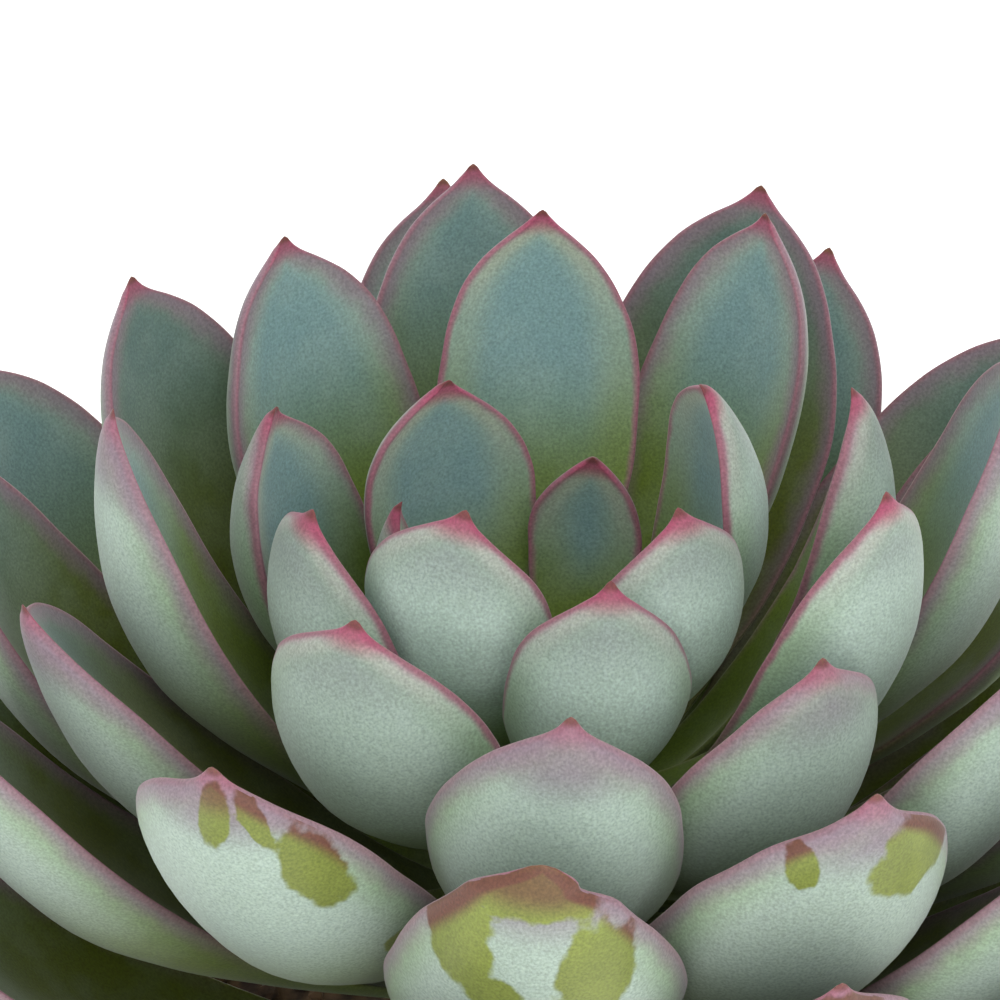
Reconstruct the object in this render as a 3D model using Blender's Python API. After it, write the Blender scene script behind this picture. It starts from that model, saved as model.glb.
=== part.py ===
"""A potted succulent: one rosette of thick leaves on a short woody stem, in a round clay pot."""

from math import atan2, cos, degrees, exp, hypot, pi, radians, sin, sqrt, tan

import bmesh
import bpy
import numpy as np
from mathutils import Matrix, Vector

MM = 0.001
SHARP = radians(38)

# The pot, a plain round one with a rim band. All sizes are in millimetres, from the ground up.
POT_HEIGHT = 86.0
POT_BASE_R = 31.0
POT_UNDER_BAND_R = 41.0
POT_BAND_R = 44.2
POT_RIM_R = 47.5
BAND_HEIGHT = 21.0
POT_INNER_FLOOR_R = 27.0
POT_INNER_RIM_R = 43.0
FLOOR = 7.0
HOLE_R = 3.4
HOLE_RING = 15.0
HOLES = 5

# The soil fills the pot to a finger's width below the rim. The stem stands in a hole in it.
SOIL_TOP = 78.0
STEM_R = 7.0
STEM_HOLE_DEPTH = 30.0
GAP = 0.3

# The rosette hangs from one point on its axis, ROSETTE_Z above the ground, and leans a little.
ROSETTE_Z = 140.0
ROSETTE_LEAN = 4.4
GROWING_POINT = 13.0
PITCH = 0.66
REACH = 60.0

# The folded heart on the stem's top: each bud leaf's angle, slope, length and half width.
HEART = ((40, 84, 10.5, 2.5), (185, 86, 9.0, 2.3), (300, 87, 7.5, 2.0))
HEART_FOOT = -14.0

# The withered leaf lies on the soil and against the rim, at the left.
DRY_ANGLE = -99.0
DRY_OUT = 19.5
DRY_RISE = 80.6
DRY_SLOPE = 14.0
DRY_LENGTH = 34.0
DRY_HALF = 6.5

# Leaves follow the golden spiral. Leaf 0 is the youngest.
# Some places on the spiral are empty, where a leaf has dropped.
FIRST_ANGLE = -104.2
DIVERGENCE = 138.12
OLDEST = 55
DROPPED = {4, 16, 20, 31, 37, 51, 52, 53, 54}
CURVE = 66.0
CUP = 0.31

# Leaves that stand off the spiral, set by hand: turned about the axis and raised, in whole degrees,
# longer or shorter, wider or narrower, curled more or less, and twisted about their own line.
TURN = {
    0: 10, 1: 6, 2: 1, 3: 8, 5: -3, 6: 2, 7: -24, 8: 7, 10: -9, 11: -10, 12: -14, 13: 1, 14: 4,
    15: -13, 17: 14, 18: 1, 19: -2, 21: -2, 22: 3, 24: -5, 25: 6, 26: -10, 27: 2, 28: -2, 29: -12,
    30: 1, 32: 1, 33: -1, 34: -6, 36: 4, 38: 1, 39: -1, 41: -2, 42: -6, 43: -2, 45: 1, 50: 3,
}
RAISE = {
    0: -19, 2: 1, 6: 1, 7: 17, 8: -4, 10: -1, 11: -6, 12: 11, 13: 1, 14: -2, 17: 6, 21: 4, 23: -1,
    24: -6, 25: -1, 29: -2, 32: 1, 33: -6, 34: -1, 36: -3, 38: -6, 39: -5, 40: -1, 41: -2, 44: -11,
    45: -2, 46: -5, 47: -4, 48: -1, 49: -9, 50: -3, 55: -4,
}
GROW = {
    0: 0.85, 1: 1.1, 2: 0.78, 3: 1.09, 5: 0.97, 7: 1.03, 8: 0.94, 9: 1.2, 10: 1.13, 11: 1.03,
    13: 0.85, 14: 0.98, 15: 1.04, 17: 1.08, 18: 0.97, 21: 0.97, 23: 0.98, 26: 0.95, 28: 0.98,
    29: 0.89,
}
WIDE = {
    0: 0.5, 1: 1.04, 2: 0.62, 3: 1.02, 5: 0.94, 6: 0.86, 7: 0.92, 8: 1.04, 9: 0.98, 10: 0.94,
    11: 1.07, 12: 0.72, 13: 0.8, 15: 0.8, 17: 1.1, 18: 0.96, 19: 0.98, 21: 0.9, 23: 0.93, 24: 1.06,
    26: 0.98, 27: 1.1, 29: 0.9, 32: 1.06, 34: 0.93, 35: 0.93, 38: 0.95, 40: 1.08, 41: 0.95, 43: 0.95,
}
CURL = {
    18: -4, 21: -10, 24: -6, 26: -8, 29: -30, 32: 4, 33: -10, 34: -10, 39: -10, 42: -16, 47: -14,
    55: -14,
}
ROLL = {
    1: -6, 3: 22, 5: -15, 7: -12, 8: 11, 9: -8, 11: 10, 12: -20, 13: -10, 14: 2, 15: -14, 17: -12,
    21: 6, 22: -5, 24: 12, 27: -4, 29: 6, 42: 6,
}

# How wide a leaf is along its length, and how far its under face bulges, as shares of the most.
WIDTH_AT = [0, 0.1, 0.2, 0.3, 0.42, 0.55, 0.66, 0.76, 0.85, 0.91, 0.95, 0.98, 1]
WIDTH = [0.27, 0.36, 0.48, 0.64, 0.84, 0.97, 1, 0.94, 0.79, 0.6, 0.4, 0.17, 0.03]
BULGE_AT = [0, 0.15, 0.3, 0.45, 0.58, 0.7, 0.8, 0.9, 0.96, 1]
BULGE = [0, 0.05, 0.28, 0.7, 1, 0.93, 0.72, 0.42, 0.2, 0]
CUP_AT = [0, 0.3, 0.8, 1]
CUPPING = [0.6, 1, 0.9, 0.4]
BASE_THICK = 1.8
MOST_THICK = 5.5
TIP_THICK = 0.8

# The rings and the points round each ring that a leaf is lofted through.
ROWS = [0, 0.1, 0.22, 0.36, 0.5, 0.64, 0.76, 0.86, 0.94]
UPPER = [-1, -0.55, 0, 0.55, 1]
LOWER = [0.82, 0.42, 0, -0.42, -0.82]


def clear():
    for obj in list(bpy.data.objects):
        bpy.data.objects.remove(obj, do_unlink=True)


def material(name, colour, roughness):
    made = bpy.data.materials.new(name)
    made.use_nodes = True
    shader = made.node_tree.nodes["Principled BSDF"]
    shader.inputs["Base Color"].default_value = (*colour, 1)
    shader.inputs["Roughness"].default_value = roughness
    return made


def solid(name, points, faces, coat):
    """One closed object from points in millimetres, its faces turned outward."""
    mesh = bpy.data.meshes.new(name)
    mesh.from_pydata([Vector(p) * MM for p in points], [], faces)
    work = bmesh.new()
    work.from_mesh(mesh)
    bmesh.ops.recalc_face_normals(work, faces=work.faces)
    work.to_mesh(mesh)
    work.free()
    mesh.materials.append(coat)
    obj = bpy.data.objects.new(name, mesh)
    bpy.context.scene.collection.objects.link(obj)
    return obj


def shade_round(obj):
    """Shades a round piece smooth and keeps its corners sharp."""
    obj.data.shade_smooth()
    obj.data.set_sharp_from_angle(angle=SHARP)
    return obj


def rosette_place():
    """From the rosette's frame to the ground: it leans to +X, its stem in the middle of the soil."""
    drop = ROSETTE_Z - SOIL_TOP
    shift = drop * tan(radians(ROSETTE_LEAN))
    return Matrix.Translation((shift, 0, ROSETTE_Z)) @ Matrix.Rotation(radians(ROSETTE_LEAN), 4, "Y")


def stem_radius(n):
    return 3.6 + 3.6 * min(n / 15, 1)


def leaf_chord(n):
    """The slope in degrees and the length of the line from a leaf's foot to its tip."""
    slope = radians(71.1 - 45.7 * (n / 45) ** 0.42)
    reach = REACH * (0.251 + 0.749 * (1 - exp(-((n / 18.3) ** 1.53))))
    out = reach * cos(slope)
    up = reach * sin(slope) + GROWING_POINT + (PITCH - 0.564) * n
    return degrees(atan2(up, out)) + RAISE.get(n, 0), hypot(out, up) * GROW.get(n, 1)


def leaf_shape(n):
    """Everything that one leaf of the spiral needs, by its age."""
    slope, chord = leaf_chord(n)
    return {
        "angle": radians(FIRST_ANGLE + DIVERGENCE * n + TURN.get(n, 0)),
        "slope": radians(slope),
        "chord": chord,
        "foot_r": stem_radius(n) + GAP,
        "foot_z": -GROWING_POINT - PITCH * n,
        "half": WIDE.get(n, 1) * min(13.9 + 1.85 * sqrt(n), 23.5) / 2,
        "curve": radians(CURVE + CURL.get(n, 0)),
        "thick": min(1, 0.55 + 0.45 * n / 14),
        "roll": radians(ROLL.get(n, 0)),
    }


def thickness(s, share):
    bulge = float(np.interp(s, BULGE_AT, BULGE))
    end = BASE_THICK * share if s < 0.58 else TIP_THICK
    return end + (MOST_THICK * share - end) * bulge


def leaf_section(half, thick, cup):
    """The ring of points across a leaf: a shallow trough on top, a round belly under it."""
    ring = [(half * u, cup * half * u * u) for u in UPPER]
    ring += [
        (half * u, cup * half * u * u - thick * (1 - abs(u) ** 2.2) ** 0.55) for u in LOWER
    ]
    return ring


def leaf_points(leaf):
    """A leaf lofted along an arc that rises from the stem, in the rosette's frame."""
    start = leaf["slope"] - leaf["curve"] / 2
    radius = leaf["chord"] / (2 * sin(leaf["curve"] / 2))
    rings = []
    for s in [*ROWS, 1]:
        turn = start + leaf["curve"] * s
        out = leaf["foot_r"] + radius * (sin(turn) - sin(start))
        up = leaf["foot_z"] + radius * (cos(start) - cos(turn))
        half = leaf["half"] * float(np.interp(s, WIDTH_AT, WIDTH))
        cup = CUP * float(np.interp(s, CUP_AT, CUPPING))
        ring = [(0, 0)] if s == 1 else leaf_section(half, thickness(s, leaf["thick"]), cup)
        twist = leaf["roll"] * min(1, 2 * s)
        for across, rise in ring:
            side = across * cos(twist) - rise * sin(twist)
            lift = across * sin(twist) + rise * cos(twist)
            rings.append((out - lift * sin(turn), side, up + lift * cos(turn)))
    a = leaf["angle"]
    return [
        (r * sin(a) + side * cos(a), -r * cos(a) + side * sin(a), z)
        for r, side, z in rings
    ]


def loft_faces(rows, around):
    """Faces of rings in order, flat at the first ring and gathered to one point after the last."""
    faces = [tuple(range(around))]
    for i in range(rows - 1):
        for j in range(around):
            k = (j + 1) % around
            low = i * around
            high = low + around
            faces.append((low + j, low + k, high + k, high + j))
    last = (rows - 1) * around
    faces += [(last + j, last + (j + 1) % around, rows * around) for j in range(around)]
    return faces


def lathe(profile, around, place=None):
    """A closed turned solid: the profile starts and ends on the axis, as (radius, height) pairs."""
    points = []
    rings = []
    for r, z in profile:
        if r == 0:
            rings.append([len(points)] * around)
            points.append((0, 0, z))
            continue
        rings.append([len(points) + j for j in range(around)])
        for j in range(around):
            a = 2 * pi * j / around
            points.append((r * cos(a), r * sin(a), z))
    faces = []
    for low, high in zip(rings, rings[1:]):
        for j in range(around):
            k = (j + 1) % around
            corners = [low[j], low[k], high[k], high[j]]
            faces.append(tuple(dict.fromkeys(corners)))
    if place:
        points = [tuple(place @ Vector(p)) for p in points]
    return points, faces


def apply_boolean(target, cutter, operation):
    """Cuts or joins with one helper object, and then removes the helper."""
    step = target.modifiers.new(operation, "BOOLEAN")
    step.operation = operation
    step.solver = "EXACT"
    step.object = cutter
    bpy.context.view_layer.objects.active = target
    with bpy.context.temp_override(active_object=target, object=target, selected_objects=[target]):
        bpy.ops.object.modifier_apply(modifier=step.name)
    bpy.data.objects.remove(cutter, do_unlink=True)


def pot_inner_radius(z):
    """The inside wall is a plain cone from the floor to the rim."""
    share = (z - FLOOR) / (POT_HEIGHT - FLOOR)
    return POT_INNER_FLOOR_R + (POT_INNER_RIM_R - POT_INNER_FLOOR_R) * share


def make_pot(coat):
    band = POT_HEIGHT - BAND_HEIGHT
    profile = [
        (0, 0),
        (POT_BASE_R - 1.2, 0),
        (POT_BASE_R, 1.2),
        (POT_UNDER_BAND_R, band - 0.8),
        (POT_UNDER_BAND_R + 0.6, band),
        (POT_BAND_R - 0.8, band),
        (POT_BAND_R, band + 0.9),
        (POT_RIM_R, POT_HEIGHT - 3.2),
        (POT_RIM_R - 0.6, POT_HEIGHT - 1.0),
        (POT_RIM_R - 1.9, POT_HEIGHT),
        (pot_inner_radius(POT_HEIGHT) + 1.0, POT_HEIGHT),
        (pot_inner_radius(POT_HEIGHT - 1.2), POT_HEIGHT - 1.2),
        (pot_inner_radius(FLOOR + 1.5), FLOOR + 1.5),
        (pot_inner_radius(FLOOR) - 1.5, FLOOR),
        (0, FLOOR),
    ]
    pot = solid("pot", *lathe(profile, 56), coat)
    for i in range(HOLES):
        a = 2 * pi * i / HOLES + 0.71
        hole = [(0, -3), (HOLE_R, -3), (HOLE_R, FLOOR + 3), (0, FLOOR + 3)]
        centre = Matrix.Translation((HOLE_RING * cos(a), HOLE_RING * sin(a), 0))
        place = centre @ Matrix.Rotation(0.13, 4, "Z")
        cutter = solid("hole", *lathe(hole, 20, place), coat)
        apply_boolean(pot, cutter, "DIFFERENCE")
    return shade_round(pot)


def soil_relief(x, y):
    """Low crumbs and hollows in the soil's top, from a few waves that don't line up."""
    lumps = sin(0.31 * x + 1.3) * cos(0.27 * y - 0.4)
    crumbs = sin(0.83 * x - 0.5 * y + 2.1) + cos(0.71 * y + 0.44 * x)
    return 0.7 * lumps + 0.28 * crumbs


def make_soil(coat):
    """A plug of soil with a plain slanted hole for the stem, clear of the pot all round."""
    around = 48
    hole_r = STEM_R + GAP
    slant = tan(radians(ROSETTE_LEAN))
    bottom = FLOOR + GAP
    points = []
    rings = []

    def ring(radius, height, shift=0.0, rough=0.0):
        rings.append([len(points) + j for j in range(around)])
        for j in range(around):
            a = 2 * pi * j / around
            x = radius * cos(a) + shift
            y = radius * sin(a)
            points.append((x, y, height + rough * soil_relief(x, y)))

    for depth in (STEM_HOLE_DEPTH, STEM_HOLE_DEPTH / 2):
        ring(hole_r, SOIL_TOP - depth, -depth * slant)
    edge = pot_inner_radius(SOIL_TOP) - GAP / cos(0.2) - 0.25
    for share in (0, 0.06, 0.16, 0.28, 0.41, 0.54, 0.67, 0.79, 0.9, 0.97):
        radius = hole_r + (edge - hole_r) * share
        ring(radius, SOIL_TOP + 0.8 * (1 - share) ** 2, 0, 0.4 if share in (0, 0.97) else 1)
    ring(edge, SOIL_TOP - 1.2)
    ring(pot_inner_radius(bottom + 2) - GAP - 0.1, bottom + 2)
    ring(pot_inner_radius(bottom) - 2.4, bottom)
    faces = []
    for low, high in zip(rings, rings[1:]):
        for j in range(around):
            k = (j + 1) % around
            faces.append((low[j], low[k], high[k], high[j]))
    faces.append(tuple(rings[0]))
    faces.append(tuple(rings[-1]))
    return shade_round(solid("soil", points, faces, coat))


def make_stem(coat, place):
    """The woody stem, thicker down to the soil, with the folded heart of the rosette on its top."""
    soil_line = -(ROSETTE_Z - SOIL_TOP) / cos(radians(ROSETTE_LEAN))
    foot = soil_line - STEM_HOLE_DEPTH + 0.5
    profile = [(0, foot), (STEM_R - 0.8, foot), (STEM_R, foot + 1.5)]
    profile += [(STEM_R, soil_line + 5.2), (STEM_R + 0.2, soil_line + 12.7)]
    profile += [(stem_radius(n), -GROWING_POINT - PITCH * n) for n in (46, 30, 15, 10, 5, 1)]
    profile += [(2.6, -12.6), (0, -12.2)]
    stem = solid("stem", *lathe(profile, 20, place), coat)
    for angle, slope, length, half in HEART:
        bud = {
            "angle": radians(angle),
            "slope": radians(slope),
            "chord": length,
            "foot_r": 1.0,
            "foot_z": HEART_FOOT,
            "half": half,
            "curve": radians(40),
            "thick": 0.32,
            "roll": 0,
        }
        rolled = [tuple(place @ Vector(p)) for p in leaf_points(bud)]
        piece = solid("bud", rolled, loft_faces(len(ROWS), len(UPPER) + len(LOWER)), coat)
        apply_boolean(stem, piece, "UNION")
    return shade_round(stem)


def make_leaf(name, points, coat):
    """One leaf as a closed solid, from the rings of points along it."""
    around = len(UPPER) + len(LOWER)
    return shade_round(solid(name, points, loft_faces(len(ROWS), around), coat))


def make_dry_leaf(coat):
    """An old withered leaf that has dropped between the stem and the pot's rim, thin and curled."""
    leaf = {
        "angle": radians(DRY_ANGLE),
        "slope": radians(DRY_SLOPE),
        "chord": DRY_LENGTH,
        "foot_r": DRY_OUT,
        "foot_z": DRY_RISE,
        "half": DRY_HALF,
        "curve": radians(-36),
        "thick": 0.4,
        "roll": 0,
    }
    return make_leaf("dry_leaf", leaf_points(leaf), coat)


clear()
leaf_coat = material("waxy leaf", (0.31, 0.42, 0.38), 0.6)
stem_coat = material("woody stem", (0.29, 0.24, 0.15), 0.85)
dry_coat = material("withered leaf", (0.2, 0.09, 0.05), 0.8)
clay_coat = material("fired clay", (0.52, 0.21, 0.11), 0.9)
soil_coat = material("potting soil", (0.07, 0.045, 0.03), 0.95)

frame = rosette_place()
make_pot(clay_coat)
make_soil(soil_coat)
make_stem(stem_coat, frame)
for n in range(OLDEST + 1):
    if n in DROPPED:
        continue
    grown = [tuple(frame @ Vector(p)) for p in leaf_points(leaf_shape(n))]
    make_leaf(f"leaf_{n:02d}", grown, leaf_coat)
make_dry_leaf(dry_coat)
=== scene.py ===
# %% [markdown]
# # A potted succulent
# One rosette of thick, powdery leaves on a short woody stem, in a plain clay pot of soil.
# The solid model gives every piece its place and size. Here each piece gets its fine shape and its finish.
# We start by loading that model.

from math import atan, atan2, cos, exp, hypot, pi, radians, sin, sqrt, tan
from types import SimpleNamespace

import bpy
import numpy as np
from mathutils import Matrix, Vector, noise
from mathutils.bvhtree import BVHTree


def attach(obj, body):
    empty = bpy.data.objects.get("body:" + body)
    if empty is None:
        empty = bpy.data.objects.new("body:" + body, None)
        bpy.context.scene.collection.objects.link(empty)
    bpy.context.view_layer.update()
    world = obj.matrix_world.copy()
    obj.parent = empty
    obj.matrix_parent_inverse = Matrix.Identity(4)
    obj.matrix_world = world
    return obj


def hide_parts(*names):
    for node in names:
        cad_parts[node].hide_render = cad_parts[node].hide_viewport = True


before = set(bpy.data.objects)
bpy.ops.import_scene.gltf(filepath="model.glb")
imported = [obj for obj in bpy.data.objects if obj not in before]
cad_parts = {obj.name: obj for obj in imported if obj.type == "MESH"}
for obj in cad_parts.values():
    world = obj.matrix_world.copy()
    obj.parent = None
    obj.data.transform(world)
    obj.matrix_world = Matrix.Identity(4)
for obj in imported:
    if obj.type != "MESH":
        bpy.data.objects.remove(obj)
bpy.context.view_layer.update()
bpy.ops.object.select_all(action="DESELECT")
MM = 0.001
print("solid pieces:", len(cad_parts))

# %% [markdown]
# ## Helpers for colour and materials
# Paint is mixed in sRGB hex, as a maker reads it off a swatch, but Blender's shaders work on linear light.
# One function turns the one into the other. A second adds a shader node with its settings and links. Two
# more start a material with its fixed looks, and finish it with a colour and a bump.


# %% Colour and node helpers
def ink(code):
    """A linear colour from an sRGB hex code."""
    parts = [int(code[i : i + 2], 16) / 255 for i in (1, 3, 5)]
    return (*[c / 12.92 if c < 0.04045 else ((c + 0.055) / 1.055) ** 2.4 for c in parts], 1)


def add(tree, kind, inputs=None, output=0, **settings):
    """Adds a node with its settings and links. An input is a value or another node's output."""
    node = tree.nodes.new(kind)
    for name, value in settings.items():
        setattr(node, name, value)
    for key, value in (inputs or {}).items():
        if isinstance(value, bpy.types.NodeSocket):
            tree.links.new(value, node.inputs[key])
        else:
            node.inputs[key].default_value = value
    return node.outputs[output]


def start_material(name, looks):
    """A fresh material with the looks set on its shader, and its node tree."""
    made = bpy.data.materials.new(name)
    made.use_nodes = True
    for key, value in looks.items():
        made.node_tree.nodes["Principled BSDF"].inputs[key].default_value = value
    return made, made.node_tree


def finish_material(made, colour, height, strength, depth):
    """Links a colour and a bump to a material's shader. The bump's depth is in millimetres."""
    tree = made.node_tree
    shader = tree.nodes["Principled BSDF"]
    bump = add(tree, "ShaderNodeBump", {"Height": height, "Strength": strength, "Distance": depth * MM})
    tree.links.new(colour, shader.inputs["Base Color"])
    tree.links.new(bump, shader.inputs["Normal"])
    return made


# A colour mix has its factor at input 0 and its colours at 6 and 7. A map range has its value at 0,
# the range it comes from at 1 and 2, and the range it goes to at 3 and 4.
BLEND = {"output": 2, "data_type": "RGBA"}
SOFT = {"interpolation_type": "SMOOTHSTEP"}
print("rosy margin in linear light:", [round(c, 3) for c in ink("#8e6c79")[:3]])

# %% [markdown]
# ## The camera
# The photo looks down on the rosette at about 35 degrees from just over half a metre, through a long lens,
# so the leaves hardly shrink with distance. The rosette's own point, where the fitted spiral starts, is a
# little right of and below the middle of the picture. The camera is turned by that much, with no lens shift.

# %% Place the camera, with lengths in millimetres
ROSETTE_Z = 140.0
ROSETTE_LEAN = radians(4.4)
SOIL_TOP = 78.0
VIEW_DOWN = radians(35.4)
VIEW_DISTANCE = 540.0
FOCAL_PIXELS = 6205.5
ROSETTE_PIXEL = (571.5, 597.8)
PICTURE = 1000
SENSOR_WIDTH = 36.0
NEAREST_SEEN = 10.0

rosette_foot = Vector(((ROSETTE_Z - SOIL_TOP) * tan(ROSETTE_LEAN), 0, ROSETTE_Z))
rosette_place = Matrix.Translation(rosette_foot) @ Matrix.Rotation(ROSETTE_LEAN, 4, "Y")
eye = rosette_foot + VIEW_DISTANCE * Vector((0, -cos(VIEW_DOWN), sin(VIEW_DOWN)))
turn_left = atan((ROSETTE_PIXEL[0] - PICTURE / 2) / FOCAL_PIXELS)
turn_up = atan((ROSETTE_PIXEL[1] - PICTURE / 2) / FOCAL_PIXELS)
bpy.ops.object.camera_add()
camera = bpy.context.object
camera.name = "camera"
camera.matrix_world = (
    Matrix.Translation(eye * MM)
    @ Matrix.Rotation(pi / 2 - VIEW_DOWN + turn_up, 4, "X")
    @ Matrix.Rotation(turn_left, 4, "Y")
)
camera.data.sensor_width = SENSOR_WIDTH
camera.data.lens = FOCAL_PIXELS / PICTURE * SENSOR_WIDTH
camera.data.clip_start = NEAREST_SEEN * MM
bpy.context.scene.camera = camera
print("lens in mm:", round(camera.data.lens, 1))

# %% [markdown]
# ## How the leaves are set
# A rosette grows one leaf at a time. Each new leaf stands about 138 degrees round from the last, which is
# the golden angle and a little more, and pushes the older ones out and down. So one rule of a leaf's age
# gives its angle, slope, length and width. Real leaves stray from the rule, and a few have dropped. The
# solid model keeps those departures by leaf number, and the fine leaves repeat them so that each one lies
# where its solid is.

# %% How each leaf strays from the rule
GROWING_POINT = 13.0
PITCH = 0.66
REACH = 60.0
FIRST_ANGLE = -104.2
DIVERGENCE = 138.12
OLDEST = 55
DROPPED = {4, 16, 20, 31, 37, 51, 52, 53, 54}
CURVE = 66.0
CUP = 0.31
TURN = {
    0: 10, 1: 6, 2: 1, 3: 8, 5: -3, 6: 2, 7: -24, 8: 7, 10: -9, 11: -10, 12: -14, 13: 1, 14: 4,
    15: -13, 17: 14, 18: 1, 19: -2, 21: -2, 22: 3, 24: -5, 25: 6, 26: -10, 27: 2, 28: -2, 29: -12,
    30: 1, 32: 1, 33: -1, 34: -6, 36: 4, 38: 1, 39: -1, 41: -2, 42: -6, 43: -2, 45: 1, 50: 3,
}
RAISE = {
    0: -19, 2: 1, 6: 1, 7: 17, 8: -4, 10: -1, 11: -6, 12: 11, 13: 1, 14: -2, 17: 6, 21: 4, 23: -1,
    24: -6, 25: -1, 29: -2, 32: 1, 33: -6, 34: -1, 36: -3, 38: -6, 39: -5, 40: -1, 41: -2, 44: -11,
    45: -2, 46: -5, 47: -4, 48: -1, 49: -9, 50: -3, 55: -4,
}
GROW = {
    0: 0.85, 1: 1.1, 2: 0.78, 3: 1.09, 5: 0.97, 7: 1.03, 8: 0.94, 9: 1.2, 10: 1.13, 11: 1.03,
    13: 0.85, 14: 0.98, 15: 1.04, 17: 1.08, 18: 0.97, 21: 0.97, 23: 0.98, 26: 0.95, 28: 0.98,
    29: 0.89,
}
WIDE = {
    0: 0.5, 1: 1.04, 2: 0.62, 3: 1.02, 5: 0.94, 6: 0.86, 7: 0.92, 8: 1.04, 9: 0.98, 10: 0.94,
    11: 1.07, 12: 0.72, 13: 0.8, 15: 0.8, 17: 1.1, 18: 0.96, 19: 0.98, 21: 0.9, 23: 0.93, 24: 1.06,
    26: 0.98, 27: 1.1, 29: 0.9, 32: 1.06, 34: 0.93, 35: 0.93, 38: 0.95, 40: 1.08, 41: 0.95, 43: 0.95,
}
CURL = {
    18: -4, 21: -10, 24: -6, 26: -8, 29: -30, 32: 4, 33: -10, 34: -10, 39: -10, 42: -16, 47: -14,
    55: -14,
}
ROLL = {
    1: -6, 3: 22, 5: -15, 7: -12, 8: 11, 9: -8, 11: 10, 12: -20, 13: -10, 14: 2, 15: -14, 17: -12,
    21: 6, 22: -5, 24: 12, 27: -4, 29: 6, 42: 6,
}
print("leaves dropped:", sorted(DROPPED))

# %% [markdown]
# ## The rule of a leaf's age
# The youngest leaf stands at 71 degrees and reaches a quarter as far as a grown one. The slope falls fast at
# first and then slowly, and the width grows with the root of the age. The rule was fitted to the tips, with
# a tighter spiral than the stem has, so a leaf's line runs from its lower foot to where its tip was fitted.
# The colours follow the age too, and a few old leaves take a younger age for their colour, so that they
# carry less painted shade and are painted lighter.

# %% The rule of a leaf's age
YOUNG_STEM_R = 3.6
STEM_GAIN = 3.6
STEM_FULL_AT = 15
LEAF_GAP = 0.3
YOUNG_SLOPE = 71.1
SLOPE_LOSS = 45.7
SLOPE_AGE = 45
SLOPE_POWER = 0.42
YOUNG_REACH = 0.251
REACH_AGE = 18.3
REACH_POWER = 1.53
FITTED_PITCH = 0.564
YOUNG_WIDTH = 13.9
WIDTH_GAIN = 1.85
FULL_WIDTH = 23.5
YOUNG_THICKNESS = 0.55
THICK_AT = 14
# Leaves painted lighter: the age that their colour takes, so that less painted shade darkens them.
AGE_PAINTED_LIGHTER = {36: 0.3, 39: 0.42, 41: 0.42, 50: 0.32}


def stem_radius(n):
    """The stem's radius where leaf n grows from it."""
    return YOUNG_STEM_R + STEM_GAIN * min(n / STEM_FULL_AT, 1)


def leaf_rule(n):
    """Angle, slope, length, foot and half width of leaf n, in the rosette's frame and millimetres."""
    slope = radians(YOUNG_SLOPE - SLOPE_LOSS * (n / SLOPE_AGE) ** SLOPE_POWER)
    grown = 1 - exp(-((n / REACH_AGE) ** REACH_POWER))
    reach = REACH * (YOUNG_REACH + (1 - YOUNG_REACH) * grown)
    out = reach * cos(slope)
    up = reach * sin(slope) + GROWING_POINT + (PITCH - FITTED_PITCH) * n
    width = min(YOUNG_WIDTH + WIDTH_GAIN * sqrt(n), FULL_WIDTH)
    return {
        "angle": radians(FIRST_ANGLE + DIVERGENCE * n + TURN.get(n, 0)),
        "slope": atan2(up, out) + radians(RAISE.get(n, 0)),
        "chord": hypot(out, up) * GROW.get(n, 1),
        "foot_r": stem_radius(n) + LEAF_GAP,
        "foot_z": -GROWING_POINT - PITCH * n,
        "half": WIDE.get(n, 1) * width / 2,
        "curve": radians(CURVE + CURL.get(n, 0)),
        "roll": radians(ROLL.get(n, 0)),
        "thick": min(1, YOUNG_THICKNESS + (1 - YOUNG_THICKNESS) * n / THICK_AT),
        "age": AGE_PAINTED_LIGHTER.get(n, n / OLDEST),
        "seed": n,
    }


leaf_numbers = [n for n in range(OLDEST + 1) if n not in DROPPED]
print("leaves:", len(leaf_numbers), "the oldest is", round(leaf_rule(OLDEST)["chord"]), "mm long")

# %% [markdown]
# ## One leaf from a ball
# A succulent leaf is a water store: a shallow trough on top, a full round belly under it, a thin foot, and a
# small sharp point at the tip. It could be cut from a plate and thickened, but a plate has corners where a
# leaf is round. A ball is already closed and smooth, so each leaf starts as a ball with its poles at the
# foot and the tip. Every point slides along the arc that the leaf follows and out to the section there.


# %% A smooth curve through a few points
def smooth(at, xs, ys):
    """A smooth curve through a few points, with no overshoot between them."""
    xs, ys = np.array(xs, float), np.array(ys, float)
    rise = np.diff(ys) / np.diff(xs)
    slope = np.zeros(len(xs))
    for i in range(1, len(xs) - 1):
        if rise[i - 1] * rise[i] > 0:
            slope[i] = 2 * rise[i - 1] * rise[i] / (rise[i - 1] + rise[i])
    slope[0], slope[-1] = rise[0], rise[-1]
    i = np.clip(np.searchsorted(xs, at, side="right") - 1, 0, len(xs) - 2)
    gap = xs[i + 1] - xs[i]
    part = (at - xs[i]) / gap
    return (
        ys[i] * (1 + 2 * part) * (1 - part) ** 2
        + slope[i] * gap * part * (1 - part) ** 2
        + ys[i + 1] * part * part * (3 - 2 * part)
        + slope[i + 1] * gap * part * part * (part - 1)
    )


print("halfway along the rise of a hump:", smooth(np.array([0.5]), [0, 1, 2], [0, 1, 0]).round(3))

# %% [markdown]
# ## The outline and the section
# Short lists say how wide a leaf is, how far its belly bulges and how much it is cupped along its length, as
# shares of the most. The margin wavers a little, and is nipped in behind the point. A few leaves have dents
# that they grew with, and leaf 32 has lost its point and is blunt.

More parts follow.
